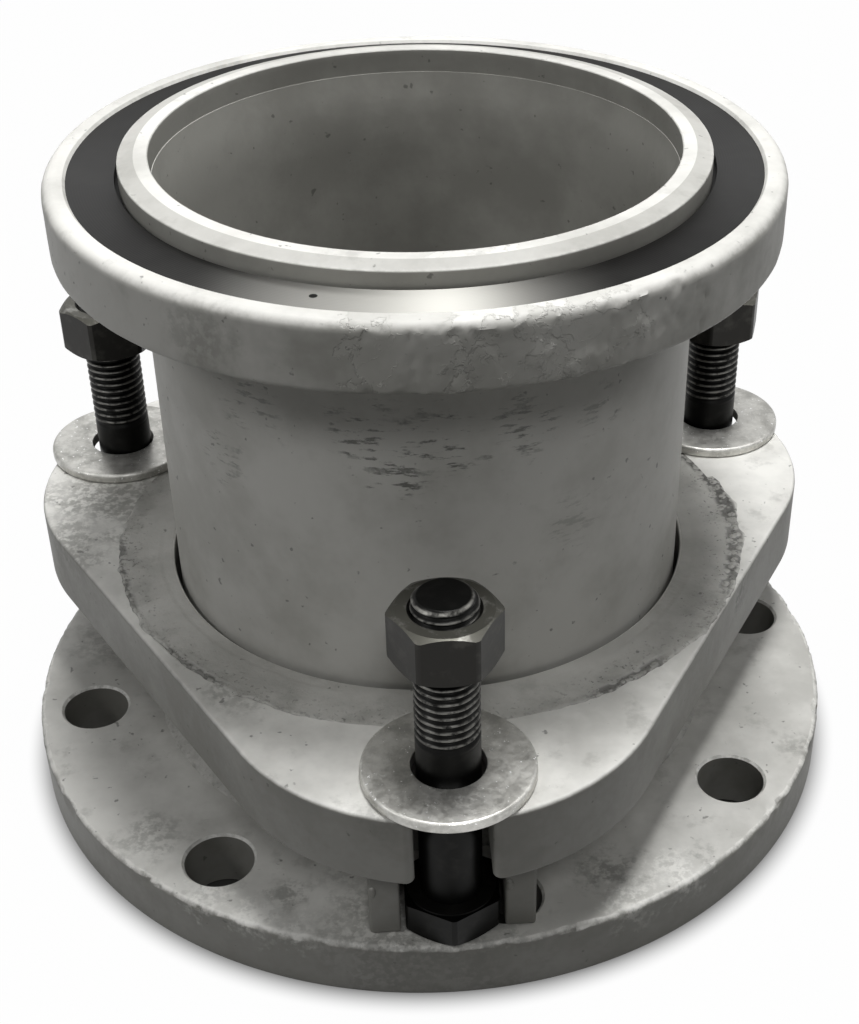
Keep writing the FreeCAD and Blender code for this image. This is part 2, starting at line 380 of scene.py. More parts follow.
def black_oxide_steel(name, colour, worn, wear=0.25):
    """Blackened bolt steel: dark oily film, worn bright on thread crests."""
    material, place = new_material(name)
    coat = tint(cloud(place, 5, 5, 0.6).step(0.5, 0.72) * wear, colour, worn)
    rub = add_value(place.tree, "ShaderNodeAttribute", "Fac", attribute_name="rub")
    coat = tint(rub * cloud(place, 2.5, 4, 0.6).step(0.3, 0.6), coat, "#757470")
    finish_shader(coat, 0.4, cloud(place, 1.2, 3), 0.3, 0.05, METAL)
    return material


def zinc_plate(name, colour, dull):
    """Zinc-plated washer: bright crystals in dull patches, with white specks."""
    material, place = new_material(name)
    patch = cloud(place, 9, 6, 0.7)
    crystal = add_value(place.tree, "ShaderNodeSeparateColor", "Red", {"Color": cells(place, 1.6, "Color")})
    coat = tint(patch.step(0.38, 0.66), colour, dull)
    coat = tint(crystal * 0.14, coat, "#55554F")
    coat = tint(cloud(place, 1.1, 2, 0.5).step(0.68, 0.72), coat, "#FFFFFF")
    finish_shader(coat, crystal.ramp(0, 1, 0.36, 0.5), patch, 0.4, 0.15, METAL)
    return material


def moulded_rubber(name, colour):
    """Black moulded rubber: matt, with a faint grain."""
    material, place = new_material(name)
    finish_shader(colour, 0.7, cloud(place, 0.8, 2), 0.2, 0.05)
    return material


def flat_marks(z_mm, *spots):
    """Marks on a level face, from (x, y, reach, colour, strength)."""
    return tuple(((x, y, z_mm), reach, colour, strength) for x, y, reach, colour, strength in spots)


def finishes():
    """How each finish is made, from the colours of the panel. Marks lie where the photograph shows them."""
    colours = bpy.context.scene.coupling_colours
    side, dust, grime = colours.paint, colours.dust, colours.grime
    edge, dirt_and_shade, bright = "#EDECE7", "#5A5A55", "#F4F3EE"
    scuff, chip, pale = "#4F4F4A", "#B4B3AD", "#E4E3DE"
    flange_marks = flat_marks(
        FLANGE_MM, (-52, -114, 10, dirt_and_shade, 0.5), (50, -113, 15, dirt_and_shade, 0.55), (-95, -83, 14, dirt_and_shade, 0.4),
        (80, -109, 9, dirt_and_shade, 0.4), (-75, -111, 10, bright, 0.6), (-60, -121, 10, bright, 0.7),
        (-46, -128, 8, bright, 0.6), (55, -123, 12, bright, 0.6), (-118, 20, 20, dirt_and_shade, 0.3),
        # The spot at (-10, -132) with reach 46 is painted shadow: the plate lobe's shadow on the flange's
        # front.
        (123, -58, 10, dirt_and_shade, 0.3), (-10, -132, 46, dirt_and_shade, 0.5), (72, -112, 12, bright, 0.6))
    plate_marks = flat_marks(
        PLATE_MM, (-64, -84, 14, dirt_and_shade, 0.4), (50, -82, 10, dirt_and_shade, 0.4), (-112, 30, 34, grime, 0.6),
        (-122, -4, 18, grime, 0.5), (-20, -142, 9, dirt_and_shade, 0.25)) + flat_marks(72, (103, -39, 8, dirt_and_shade, 0.7))
    scrapes = (
        ((-20, -83, 168), 15, scuff, 0.9), ((2, -85, 164), 15, scuff, 0.9), ((24, -82, 166), 14, scuff, 0.8),
        ((-10, -84, 155), 12, scuff, 0.9), ((-52, -68, 172), 16, scuff, 0.6),
        ((48, -70, 164), 12, scuff, 0.5), ((-62, -58, 146), 12, scuff, 0.6),
        ((40, -75, 130), 14, scuff, 0.3))
    ring_marks = (((11.4, -86.6, 219), 7, dirt_and_shade, 0.4), ((-60, -93, 203), 14, grime, 0.4))
    flakes = (((-6, -110, 204), 17, chip), ((20, -109, 200), 17, chip), ((40, -103, 206), 14, chip),
              ((12, -86, 218), 9, bright))
    return {
        "flange_paint": lambda name: painted_steel(name, side, dust, grime, edge, 0.65, marks=flange_marks),
        "plate_paint": lambda name: painted_steel(name, side, edge, grime, edge, 0.25, marks=plate_marks),
        "spool_paint": lambda name: painted_steel(
            name, "#C9C8C3", "#D2D1CC", "#B2B1AB", edge, 0.3, streaks=True, marks=scrapes),
        # Painted shade: a darker copy of the pale spool paint, for the bore, its flare and the lip's side
        # and bevel.
        "bore_paint": lambda name: painted_steel(name, "#A3A29C", "#C0BFBA", "#8F8E88", edge, 0.3),
        "ring_paint": lambda name: painted_steel(
            name, "#BAB9B4", pale, "#8F8E88", pale, 0.4, marks=ring_marks, scars=flakes),
        "weld_paint": lambda name: painted_steel(
            name, side, "#C4C3BE", grime, edge, 0.2, 1.6, 1.0, seam_r=105.5),
        "turned_face": lambda name: turned_steel(name, "#201F1E"),
        "black_steel": lambda name: black_oxide_steel(name, "#272624", "#55544F"),
        "oily_steel": lambda name: black_oxide_steel(name, "#0F0F0E", "#2E2D2B"),
        # Painted highlight: a paler black steel for the nuts' top chamfers and faces, where the lamps glint.
        "rubbed_steel": lambda name: black_oxide_steel(name, "#56554F", "#A5A49F", 0.6),
        "zinc_plate": lambda name: zinc_plate(name, "#D2D1CC", "#A9A8A3"),
        "seal_rubber": lambda name: moulded_rubber(name, "#141413"),
    }


def material(name):
    """Each finish is made once, when a piece first needs it."""
    own_name = "worn_" + name
    return bpy.data.materials.get(own_name) or finishes()[name](own_name)


# Mesh building

def rounded(corners, steps=6):
    """Profile points (radius, height, finish) from corners (radius, height, round, finish)."""
    points = []
    count = len(corners)
    for i, (r, z, size, finish) in enumerate(corners):
        here = Vector((r, z))
        if size <= 0:
            points.append((r, z, finish))
            continue
        back = (Vector(corners[i - 1][:2]) - here).normalized()
        ahead = (Vector(corners[(i + 1) % count][:2]) - here).normalized()
        half = back.angle(ahead) / 2
        centre = here + (back + ahead).normalized() * (size / math.sin(half))
        start = here + back * (size / math.tan(half)) - centre
        end = here + ahead * (size / math.tan(half)) - centre
        turn = start.angle_signed(end)
        for k in range(steps + 1):
            arm = Matrix.Rotation(-turn * k / steps, 2) @ start
            points.append((centre.x + arm.x, centre.y + arm.y, finish))
    return points


def spaced(points, longest, beyond=0.0):
    """The same closed profile with extra points, so that no run past this radius is longer than that."""
    result = []
    for i, (r, z, finish) in enumerate(points):
        next_r, next_z, _ = points[(i + 1) % len(points)]
        runs = 1
        if min(r, next_r) > beyond:
            runs = max(1, math.ceil(math.hypot(next_r - r, next_z - z) / longest))
        for k in range(runs):
            result.append((r + (next_r - r) * k / runs, z + (next_z - z) * k / runs, finish))
    return result


def polar(r, angle):
    return r * math.cos(angle), r * math.sin(angle)


def linked(name, data):
    """A new object in the scene."""
    made = bpy.data.objects.new(name, data)
    bpy.context.scene.collection.objects.link(made)
    return made


def merged(mesh):
    """Close the seams of a mesh and turn its faces outwards."""
    clean = bmesh.new()
    clean.from_mesh(mesh)
    bmesh.ops.remove_doubles(clean, verts=clean.verts, dist=0.01 * MM)
    bmesh.ops.recalc_face_normals(clean, faces=clean.faces)
    clean.to_mesh(mesh)
    clean.free()


def new_object(name, vertices, segments, row_finishes, finishes, sharp_deg=35.0):
    """Closed rows of vertices, each joined to the next, and the last to the first, in its row's finish."""
    rows = len(row_finishes)
    faces = []
    indices = []
    for i, finish in enumerate(row_finishes):
        above = (i + 1) % rows
        for j in range(segments):
            k = (j + 1) % segments
            faces.append((i * segments + j, i * segments + k, above * segments + k, above * segments + j))
            indices.append(finishes.index(finish))
    mesh = bpy.data.meshes.new(name)
    mesh.from_pydata(vertices, [], faces)
    made = linked(name, mesh)
    for finish in finishes:
        mesh.materials.append(material(finish))
    mesh.polygons.foreach_set("material_index", indices)
    shade(made, sharp_deg)
    return made


def shade(made, sharp_deg=35.0):
    made.data.shade_smooth()
    made.data.set_sharp_from_angle(angle=math.radians(sharp_deg))


def lathe(name, points, segments=256, change=None, centre=(0, 0), sharp_deg=35.0):
    """Turned piece from a closed anticlockwise profile; change moves each (radius, height, angle)."""
    finishes = sorted({finish for _, _, finish in points})
    vertices = []
    for r, z, _ in points:
        for j in range(segments):
            angle = 2 * math.pi * j / segments
            new_r, new_z = change(r, z, angle) if change else (r, z)
            x, y = polar(new_r, angle)
            vertices.append((centre[0] + x, centre[1] + y, new_z))
    return new_object(name, vertices, segments, [finish for _, _, finish in points], finishes, sharp_deg)


def keep_plain(made):
    """Turn an object with modifiers into its plain evaluated mesh."""
    graph = bpy.context.evaluated_depsgraph_get()
    plain = bpy.data.meshes.new_from_object(made.evaluated_get(graph))
    made.modifiers.clear()
    made.data = plain
    return made


def rough(x, y, z, size_mm, octaves=4):
    """Fractal noise about zero, with features of about this size."""
    place = Vector((x, y, z)) / (size_mm * MM)
    return noise.fractal(place, 0.6, 2.1, octaves, noise_basis="PERLIN_ORIGINAL")


def place_piece(made, body, nodes):
    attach(made, body)
    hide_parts(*nodes)


# Geometry node trees

def new_tree(name, **sockets):
    """A modifier's tree with these inputs, each of the kind given, and one output of geometry."""
    tree = bpy.data.node_groups.new(name, "GeometryNodeTree")
    tree.is_modifier = True
    for label, kind in sockets.items():
        tree.interface.new_socket(name=label, in_out="INPUT", socket_type="NodeSocket" + kind)
    tree.interface.new_socket(name="Geometry", in_out="OUTPUT", socket_type="NodeSocketGeometry")
    given = {socket.name: Value(tree, socket) for socket in add(tree, "NodeGroupInput").outputs}
    return tree, given


def finish_tree(tree, geometry, finish):
    real = add(tree, "GeometryNodeRealizeInstances", {"Geometry": geometry})
    coated = add(tree, "GeometryNodeSetMaterial", {"Geometry": real, "Material": finish})
    add(tree, "NodeGroupOutput", {"Geometry": coated})
    return tree


def set_inputs(modifier, values):
    """Set a tree's inputs by the sockets' identifiers."""
    for item in modifier.node_group.interface.items_tree:
        if item.item_type == "SOCKET" and item.in_out == "INPUT" and item.name in values:
            modifier[item.identifier] = values[item.name]


def thread_tree():
    """Round shank whose upper end is a helical thread with a chamfered, closed end."""
    tree, given = new_tree(
        "threaded_shank", Radius="Float", Depth="Float", Pitch="Float", Length="Float", Thread="Float",
        Chamfer="Float", Finish="Material")
    radius, length, pitch = given["Radius"], given["Length"], given["Pitch"]
    grid = add(tree, "GeometryNodeMeshGrid", {
        "Size X": 1.0, "Size Y": 1.0, "Vertices X": 73, "Vertices Y": 420,
    })
    position = add_value(tree, "GeometryNodeInputPosition", 0)
    spot = add(tree, "ShaderNodeSeparateXYZ", {"Vector": position}).outputs
    turn = Value(tree, spot["X"]) + 0.5
    along = (Value(tree, spot["Y"]) + 0.5) * (length + radius)
    height = along.maths("MINIMUM", length)
    inward = (along - length).most(0.0)
    phase = (height / pitch - turn).maths("FRACT")
    flank = abs(phase * 2.0 - 1.0).ramp(0.14, 0.86)
    runout = (height - (length - given["Thread"])) / (pitch * 1.5)
    cut = flank * add_value(tree, "ShaderNodeClamp", 0, {"Value": runout})
    cone = radius - given["Chamfer"] + (length - height)
    reach = ((radius - cut * given["Depth"]).maths("MINIMUM", cone) - inward).most(0.0)
    angle = turn * (2 * math.pi)
    place = add_value(tree, "ShaderNodeCombineXYZ", 0, {
        "X": reach * angle.maths("COSINE"), "Y": reach * angle.maths("SINE"), "Z": height,
    })
    crest = flank.step(0.35, 0.0) * runout.step(0.2, 1.0) * inward.step(0.0004, 0.0)
    marked = add(tree, "GeometryNodeStoreNamedAttribute", {
        "Geometry": grid, "Name": "rub", "Value": crest,
    }, data_type="FLOAT", domain="POINT")
    moved = add(tree, "GeometryNodeSetPosition", {"Geometry": marked, "Position": place})
    closed = add(tree, "GeometryNodeMergeByDistance", {"Geometry": moved, "Distance": 0.00001})
    return finish_tree(tree, closed, given["Finish"])


def drilled_tree():
    """A ring of drill copies, cut out of the piece that carries the modifier."""
    tree, given = new_tree(
        "drilled_ring", Geometry="Geometry", Drill="Object", Count="Int", Radius="Float", Start="Float",
        Finish="Material")
    circle = add(tree, "GeometryNodeMeshCircle", {"Vertices": given["Count"], "Radius": given["Radius"]})
    start = add_value(tree, "ShaderNodeCombineXYZ", 0, {"Z": given["Start"]})
    turned = add(tree, "GeometryNodeTransform", {"Geometry": circle, "Rotation": start})
    drill = add(tree, "GeometryNodeObjectInfo", {"Object": given["Drill"]})
    copies = add(tree, "GeometryNodeInstanceOnPoints", {
        "Points": turned, "Instance": drill.outputs["Geometry"],
    })
    real = add(tree, "GeometryNodeRealizeInstances", {"Geometry": copies})
    cut = add(tree, "GeometryNodeMeshBoolean", {
        "Mesh 1": given["Geometry"], "Mesh 2": real,
    }, operation="DIFFERENCE", solver="EXACT")
    return finish_tree(tree, cut.outputs["Mesh"], given["Finish"])


# Sizes and colours that a user would change

def length_setting(name, description, size_mm):
    return bpy.props.FloatProperty(name=name, description=description, default=size_mm * MM, unit="LENGTH")


def colour_setting(name, description, hex_colour):
    return bpy.props.FloatVectorProperty(
        name=name, description=description, subtype="COLOR", size=4, min=0, max=1,
        default=linear(hex_colour))


class CouplingSizes(bpy.types.PropertyGroup):
    flange_edge: length_setting("Flange edge", "Round of the base flange's rim", 2.2)
    hole_start: bpy.props.FloatProperty(
        name="Hole start", description="Angle of the first flange hole", default=math.radians(8.2),
        subtype="ANGLE")
    plate_corner: length_setting("Lobe round", "Radius of the plate's lobes", 70.0)
    slot_width: length_setting("Slot width", "Width of the open bolt slots", 22.4)
    slot_root: length_setting("Slot root", "Radius at which each slot's round end is centred", 121.5)
    plate_edge: length_setting("Plate edge", "Round of the plate's edges", 1.4)
    rim_width: length_setting("Rim width", "Width of the end ring's rim", 6.3)
    rim_round: length_setting("Rim round", "Round of the rim's outer edge", 3.4)
    lip_width: length_setting("Lip bevel", "Width of the bevel on the raised lip", 5.0)
    pitch: length_setting("Thread pitch", "Height of one turn of the bolt thread", 2.54)
    thread_length: length_setting("Thread length", "Threaded length of each bolt", 49.5)
    across_flats: length_setting("Across flats", "Width of the hexagons", 28.6)


class CouplingColours(bpy.types.PropertyGroup):
    paint: colour_setting("Paint", "Main coat", "#8F8E89")
    dust: colour_setting("Dust", "Pale coat of what faces up", "#DBDAD5")
    grime: colour_setting("Grime", "Darker clouds in the coat", "#76756F")


def sizes():
    return bpy.context.scene.coupling_sizes


# Turned pieces

def flange_worn_edge(r, z, angle):
    """The flange's rim is knocked about: small dents along its upper edge."""
    rim = outer_r("base_flange")
    top = high_z("base_flange")
    share = max(0.0, 1 - (rim - r) / (5 * MM)) * max(0.0, 1 - (top - z) / (6 * MM))
    x, y = polar(r, angle)
    dent = max(0.0, rough(x, y, z, 11) - 0.12) * 1.6 * MM
    ripple = rough(x, y, z, 3.5, 3) * 0.18 * MM
    return r - share * (dent + ripple), z - share * (dent * 0.7 + ripple)


class COUPLING_OT_base_flange(bpy.types.Operator):
    """Base flange with its eight drilled holes"""
    bl_idname = "coupling.base_flange"
    bl_label = "Base flange"

    def execute(self, context):
        bore = mount("flow_bore")["dims"]["r_mm"] * MM
        rim = outer_r("base_flange")
        low, high = heights("base_flange")
        edge = sizes().flange_edge
        worn_r = rim - 8 * MM
        paint = "flange_paint"
        profile = rounded([
            (bore, low, 0, paint), (worn_r, low, 0, paint), (rim, low, edge, paint),
            (rim, high, edge, paint), (worn_r, high, 0, paint), (bore, high, 0, paint),
        ], 8)
        flange = lathe("flange_disc", spaced(profile, 1.2 * MM, worn_r - 0.1 * MM), FINE, flange_worn_edge)
        pattern = mount("base_bolts")["dims"]
        hole = pattern["hole_r_mm"] * MM
        chamfer = 0.8 * MM
        reach = 1 * MM
        wide = hole + chamfer + reach
        drill = lathe("drill", [
            (0.0, low - reach, paint), (wide, low - reach, paint), (hole, low + chamfer, paint),
            (hole, high - chamfer, paint), (wide, high + reach, paint), (0.0, high + reach, paint),
        ], 64)
        merged(drill.data)
        modifier = flange.modifiers.new("holes", "NODES")
        modifier.node_group = drilled_tree()
        set_inputs(modifier, {
            "Drill": drill, "Count": pattern["count"], "Radius": pattern["pcd_mm"] / 2 * MM,
            "Start": sizes().hole_start, "Finish": material(paint),
        })
        keep_plain(flange)
        bpy.data.objects.remove(drill)
        shade(flange, 30)
        place_piece(flange, "base", ["base_flange"])
        return {"FINISHED"}


def fillet_profile(node, root, seat, longest):
    """Triangle of weld between its root's wall and its toe, which lies at the height of the seat."""
    low, high = heights(node)
    weld = "weld_paint"
    return spaced([(root, low, weld), (outer_r(node), seat, weld), (root, high, weld)], longest)


def clear_of_washers(angle):
    """0 where a washer lies or slides on the plate and 1 well away from it."""
    degrees = math.degrees(angle)
    apart = min(abs((degrees - lobe + 180) % 360 - 180) for lobe in LOBE_DEGREES.values())
    return min(1.0, max(0.0, (apart - WASHER_ARC) / WASHER_FADE))


class COUPLING_OT_socket(bpy.types.Operator):
    """Socket wall and the welds that hold it to the flange and the plate"""
    bl_idname = "coupling.socket"
    bl_label = "Socket and welds"

    def execute(self, context):
        low, high = heights("neck_tube")
        high -= 0.3 * MM
        outer = outer_r("neck_tube")
        inner = BOXES["seal_ring"][1].x + 0.3 * MM
        paint = "plate_paint"
        neck = lathe("socket_wall", rounded([
            (inner, low, 0, paint), (outer, low, 0, paint),
            (outer, high, 0, paint), (inner, high, 0.8 * MM, paint),
        ]), PLAIN)
        place_piece(neck, "base", ["neck_tube"])
        root = outer - WELD_ROOT
        fillets = (
            ("neck_fillet", "neck_base_weld", low_z("neck_base_weld")),
            ("plate_fillet", "plate_under_weld", high_z("plate_under_weld")),
        )
        for name, node, seat in fillets:
            def bead(r, z, angle, seat=seat):
                x, y = polar(r, angle)
                ripple = 0.25 * math.sin(angle * 150) + rough(x, y, z, 7)
                free = min(1.0, (r - root) / (2 * MM)) * min(1.0, abs(z - seat) / (0.8 * MM) + 0.3)
                return r + free * ripple * 0.35 * MM, z

            piece = lathe(name, fillet_profile(node, root, seat, 0.8 * MM), FINE, bead, sharp_deg=60)
            place_piece(piece, "base", [node])
        self.top_weld(outer - 6 * MM)
        return {"FINISHED"}

    def top_weld(self, inner):
        """Groove weld through the plate, ground nearly flush, with a ragged edge that laps over it."""
        top = high_z("plate_top_weld")
        outer = outer_r("plate_top_weld")
        weld = "weld_paint"
        foot = low_z("lobed_plate") + 0.3 * MM
        rows = 26
        points = [(inner, foot, weld), (outer, foot, weld)]
        points += [(outer - (outer - inner) * k / rows, top, weld) for k in range(rows + 1)]

        def ground(r, z, angle):
            if z < top - 0.1 * MM:
                return min(r, outer - 1.6 * MM), z
            x, y = polar(r, angle)
            share = (r - inner) / (outer - inner)
            right = max(0.0, math.cos(angle - math.radians(12)))
            ragged = rough(x * 0.2, y * 0.2, 0, 4) * 1.6 * MM + right * 3.0 * MM
            lift = 0.15 * MM + rough(x, y, 0, 5) * 0.14 * MM
            lip = max(0.0, share - 0.86) / 0.14
            lift += math.sin(min(1.0, lip) * math.pi) * 0.25 * MM
            if share < 0.2:
                lift -= 0.25 * MM
            free = clear_of_washers(angle)
            sunk = 0.3 * MM if share > 0.995 else 0
            return r + share * ragged, z + free * lift - (1 - free) * 0.02 * MM - sunk

        piece = lathe("ground_weld", points, FINE, ground, sharp_deg=60)
        place_piece(piece, "base", ["plate_top_weld"])


class COUPLING_OT_lobed_plate(bpy.types.Operator):
    """Three-lobed plate with its open slots"""
    bl_idname = "coupling.lobed_plate"
    bl_label = "Lobed plate"

    def execute(self, context):
        low, high = heights("lobed_plate")
        reach = -BOXES["lobed_plate"][0].y
        edge = sizes().plate_edge
        curve = bpy.data.curves.new("plate_outline", "CURVE")
        curve.dimensions = "2D"
        curve.fill_mode = "BOTH"
        curve.extrude = (high - low) / 2 - edge
        curve.bevel_depth = edge
        curve.bevel_resolution = 5
        curve.offset = -edge
        hole_r = outer_r("plate_top_weld") - 1.5 * MM
        hole = [polar(hole_r, math.radians(degrees)) for degrees in range(0, 360, 2)]
        for points in (self.outline(reach), hole):
            spline = curve.splines.new("POLY")
            spline.points.add(len(points) - 1)
            for spot, (x, y) in zip(spline.points, points):
                spot.co = (x, y, 0, 1)
            spline.use_cyclic_u = True
        shell = linked("plate_shell", curve)
        graph = bpy.context.evaluated_depsgraph_get()
        mesh = bpy.data.meshes.new_from_object(shell.evaluated_get(graph))
        bpy.data.objects.remove(shell)
        mesh.transform(Matrix.Translation((0, 0, (low + high) / 2)))
        plate = linked("lobed_plate_body", mesh)
        merged(mesh)
        mesh.materials.clear()
        mesh.materials.append(material("plate_paint"))
        shade(plate, 50)
        weighted = plate.modifiers.new("even", "WEIGHTED_NORMAL")
        weighted.keep_sharp = True
        keep_plain(plate)
        place_piece(plate, "base", ["lobed_plate"])
        return {"FINISHED"}

    def outline(self, reach):
        """Points round the lobes, with each slot cut in at its lobe's tip."""
        lobe = sizes().plate_corner
        centre_r = reach - lobe
        half = sizes().slot_width / 2
        root = sizes().slot_root
        mouth = 2.6 * MM
        opening = math.asin((half + mouth) / (lobe - mouth))
        corner_x = centre_r + (lobe - mouth) * math.cos(opening)
        sweep = math.radians(60)
        edge = []
        for k in range(41):
            x, y = polar(lobe, -sweep + (sweep - opening) * k / 40)
            edge.append((centre_r + x, y))
        for k in range(1, 8):
            x, y = polar(mouth, -opening + (math.pi / 2 + opening) * k / 8)
            edge.append((corner_x + x, y - half - mouth))
        slot = []
        for k in range(25):
            x, y = polar(half, -math.pi / 2 - math.pi * k / 24)
            slot.append((root + x, y))
        mirror = [(x, -y) for x, y in reversed(edge)]
        points = []
        for degrees in LOBE_DEGREES.values():
            turn = Matrix.Rotation(math.radians(degrees), 2)
            points += [tuple(turn @ Vector(spot)) for spot in edge + slot + mirror]
        return points


class COUPLING_OT_head_guides(bpy.types.Operator):
    """Guide bars each side of the bolt heads"""
    bl_idname = "coupling.head_guides"
    bl_label = "Head guides"

    def execute(self, context):
        across = sizes().across_flats + GUIDE_GAP
        inner, outer = GUIDE_INNER_R, -BOXES["head_guide_front_a"][0].y
        low, high = heights("head_guide_front_a")
        for name in SET_NAMES:
            for side, tag in ((-1, "a"), (1, "b")):
                shape = bmesh.new()
                bmesh.ops.create_cube(shape, size=1)
                size = Matrix.Diagonal((GUIDE_THICKNESS, outer - inner, high - low, 1))
                offset = side * (across + GUIDE_THICKNESS) / 2
                spot = Vector((offset, -(inner + outer) / 2, (low + high) / 2))
                turn = Matrix.Rotation(math.radians(LOBE_DEGREES[name] + 90), 4, "Z")
                bmesh.ops.transform(shape, matrix=turn @ Matrix.Translation(spot) @ size, verts=shape.verts)
                bmesh.ops.bevel(
                    shape, geom=shape.edges, offset=1.0 * MM, segments=3, profile=0.5, affect="EDGES")
                left_edge = side * across / 2 - (GUIDE_THICKNESS if side < 0 else 0)
                bead = Matrix.Translation((left_edge + 1.3 * MM, 0.3 * MM - outer, high - 15 * MM))
                drop = Matrix.Diagonal((*GUIDE_BEAD, 1))
                bmesh.ops.create_icosphere(shape, subdivisions=3, radius=1, matrix=turn @ bead @ drop)
                mesh = bpy.data.meshes.new("guide_bar_%s_%s" % (name, tag))
                shape.to_mesh(mesh)
                shape.free()
                bar = linked(mesh.name, mesh)
                mesh.materials.append(material("plate_paint"))
                shade(bar)
                place_piece(bar, "base", ["head_guide_%s_%s" % (name, tag)])
        return {"FINISHED"}


def chipped_ring(r, z, angle):
    """Paint flaked off the front of the end ring, and a rough lower edge there."""
    rim = outer_r("end_ring")
    outside = max(0.0, 1 - (rim - r) / (4 * MM))
    degrees = math.degrees(angle) - 360 * (angle > math.pi)
    window = max(0.0, 1 - abs(degrees - CHIP_MIDDLE) / CHIP_ARC)
    x, y = polar(r, angle)
    flake = max(0.0, min(1.0, (rough(x, y, z, 9) + window * 0.75 - 0.42) * 9)) if window > 0 else 0.0
    dent = rough(x, y, z, 14, 3) * 0.12 * MM
    return r - outside * (flake * 0.55 * MM + dent), z


class COUPLING_OT_spool(bpy.types.Operator):
    """Loose spool pipe, its end ring and the weld between them"""
    bl_idname = "coupling.spool"
    bl_label = "Spool"

    def execute(self, context):
        bore = mount("outlet_bore")["dims"]["r_mm"] * MM
        outer = outer_r("spool_pipe")
        low, high = heights("spool_pipe")
        paint = "spool_paint"
        floor_r = BOXES["seal_ring"][1].x - GROOVE_DEPTH
        seal_low = low_z("seal_ring") - GROOVE_PLAY
        seal_high = high_z("seal_ring") + GROOVE_PLAY
        pipe = lathe("spool_tube", spaced([
            (bore, low, paint), (outer - 2 * MM, low, paint), (outer, low + 2 * MM, paint),
            (outer, seal_low, paint), (floor_r, seal_low, paint), (floor_r, seal_high, paint),
            (outer, seal_high, paint), (outer, high, paint),
            # The bore takes the darker copy of the paint: painted shade inside the pipe.
            (bore + BORE_FLARE - 0.15 * MM, high, "bore_paint"),
            (bore, high - FLARE_HEIGHT, "bore_paint"),
        ], 12 * MM), PLAIN)
        place_piece(pipe, "spool", ["spool_pipe"])
        self.end_ring(bore, outer, high)
        self.ring_weld(outer)
        return {"FINISHED"}

    def end_ring(self, bore, pipe_r, pipe_top):
        bottom, top = heights("end_ring")
        rim = outer_r("end_ring")
        lip_r = mount("outlet_lip")["dims"]["r_mm"] * MM
        face = mount("outlet_face")["pos_m"][2]
        rim_top = face + 1.0 * MM
        rim_inner = rim - sizes().rim_width
        lip_bore = bore + BORE_FLARE
        relief = 1.2 * MM
        deep = 2.4 * MM
        # grey is the darker copy of the paint: painted shade on the lip's side wall, its bevel and the
        # bore's flare.
        paint, bare, grey = "ring_paint", "turned_face", "bore_paint"
        profile = rounded([
            (pipe_r, bottom, 0, paint),
            (rim, bottom, 2.0 * MM, paint),
            (rim, rim_top, sizes().rim_round, paint),
            (rim_inner, rim_top, 0.5 * MM, paint),
            (rim_inner - 0.8 * MM, face, 0, bare),
            (lip_r + relief, face, 0, bare),
            (lip_r + relief, face - deep, 0, bare),
            (lip_r, face - deep, 0, grey),
            (lip_r, top - 1.3 * MM, 0.6 * MM, grey),
            (lip_r - sizes().lip_width, top, 0.3 * MM, paint),
            (lip_bore, top, 0.4 * MM, grey),
            (lip_bore, pipe_top, 0, grey),
            (pipe_r, pipe_top, 0, paint),
        ])
        ring = lathe("end_ring_body", spaced(profile, 1.5 * MM), FINE, chipped_ring)
        place_piece(ring, "spool", ["end_ring"])

    def ring_weld(self, outer):
        profile = fillet_profile("ring_weld", outer - WELD_ROOT, high_z("ring_weld"), 1 * MM)
        bead = lathe("ring_fillet", profile, PLAIN)
        place_piece(bead, "spool", ["ring_weld"])


class COUPLING_OT_seals(bpy.types.Operator):
    """Seat gasket and seal ring"""
    bl_idname = "coupling.seals"
    bl_label = "Seals"

    def execute(self, context):
        for node in ("seat_gasket", "seal_ring"):
            seal = frame["nodes"][node]
            seal.data.materials.clear()
            seal.data.materials.append(material("seal_rubber"))
        return {"FINISHED"}


# Bolts, nuts and washers

def hexagon_rows(name, rows, centre, turn, finishes):
    """Closed shell round an axis; a row's radius may be None for the hexagon's own outline.

    rows hold (radius, height, drop_side, finish): where the radius is the hexagon's, drop_side of 1 or -1
    lowers or lifts the height by the cone of the chamfer.
    """
    flat = sizes().across_flats / 2
    corner = flat / math.cos(math.radians(30)) - HEX_EASE
    chamfer_r = flat * 0.965
    per_side = 20
    segments = per_side * 6
    vertices = []
    for radius, height, drop_side, _ in rows:
        for j in range(segments):
            local = (j % per_side) / per_side * math.radians(60) - math.radians(30)
            hexagon = min(flat / math.cos(local), corner)
            r = hexagon if radius is None else radius
            drop = max(0.0, hexagon - chamfer_r) * math.tan(math.radians(30)) if radius is None else 0.0
            x, y = polar(r, 2 * math.pi * j / segments + turn)
            vertices.append((centre.x + x, centre.y + y, height - drop_side * drop))
    return new_object(name, vertices, segments, [row[3] for row in rows], finishes, 20)


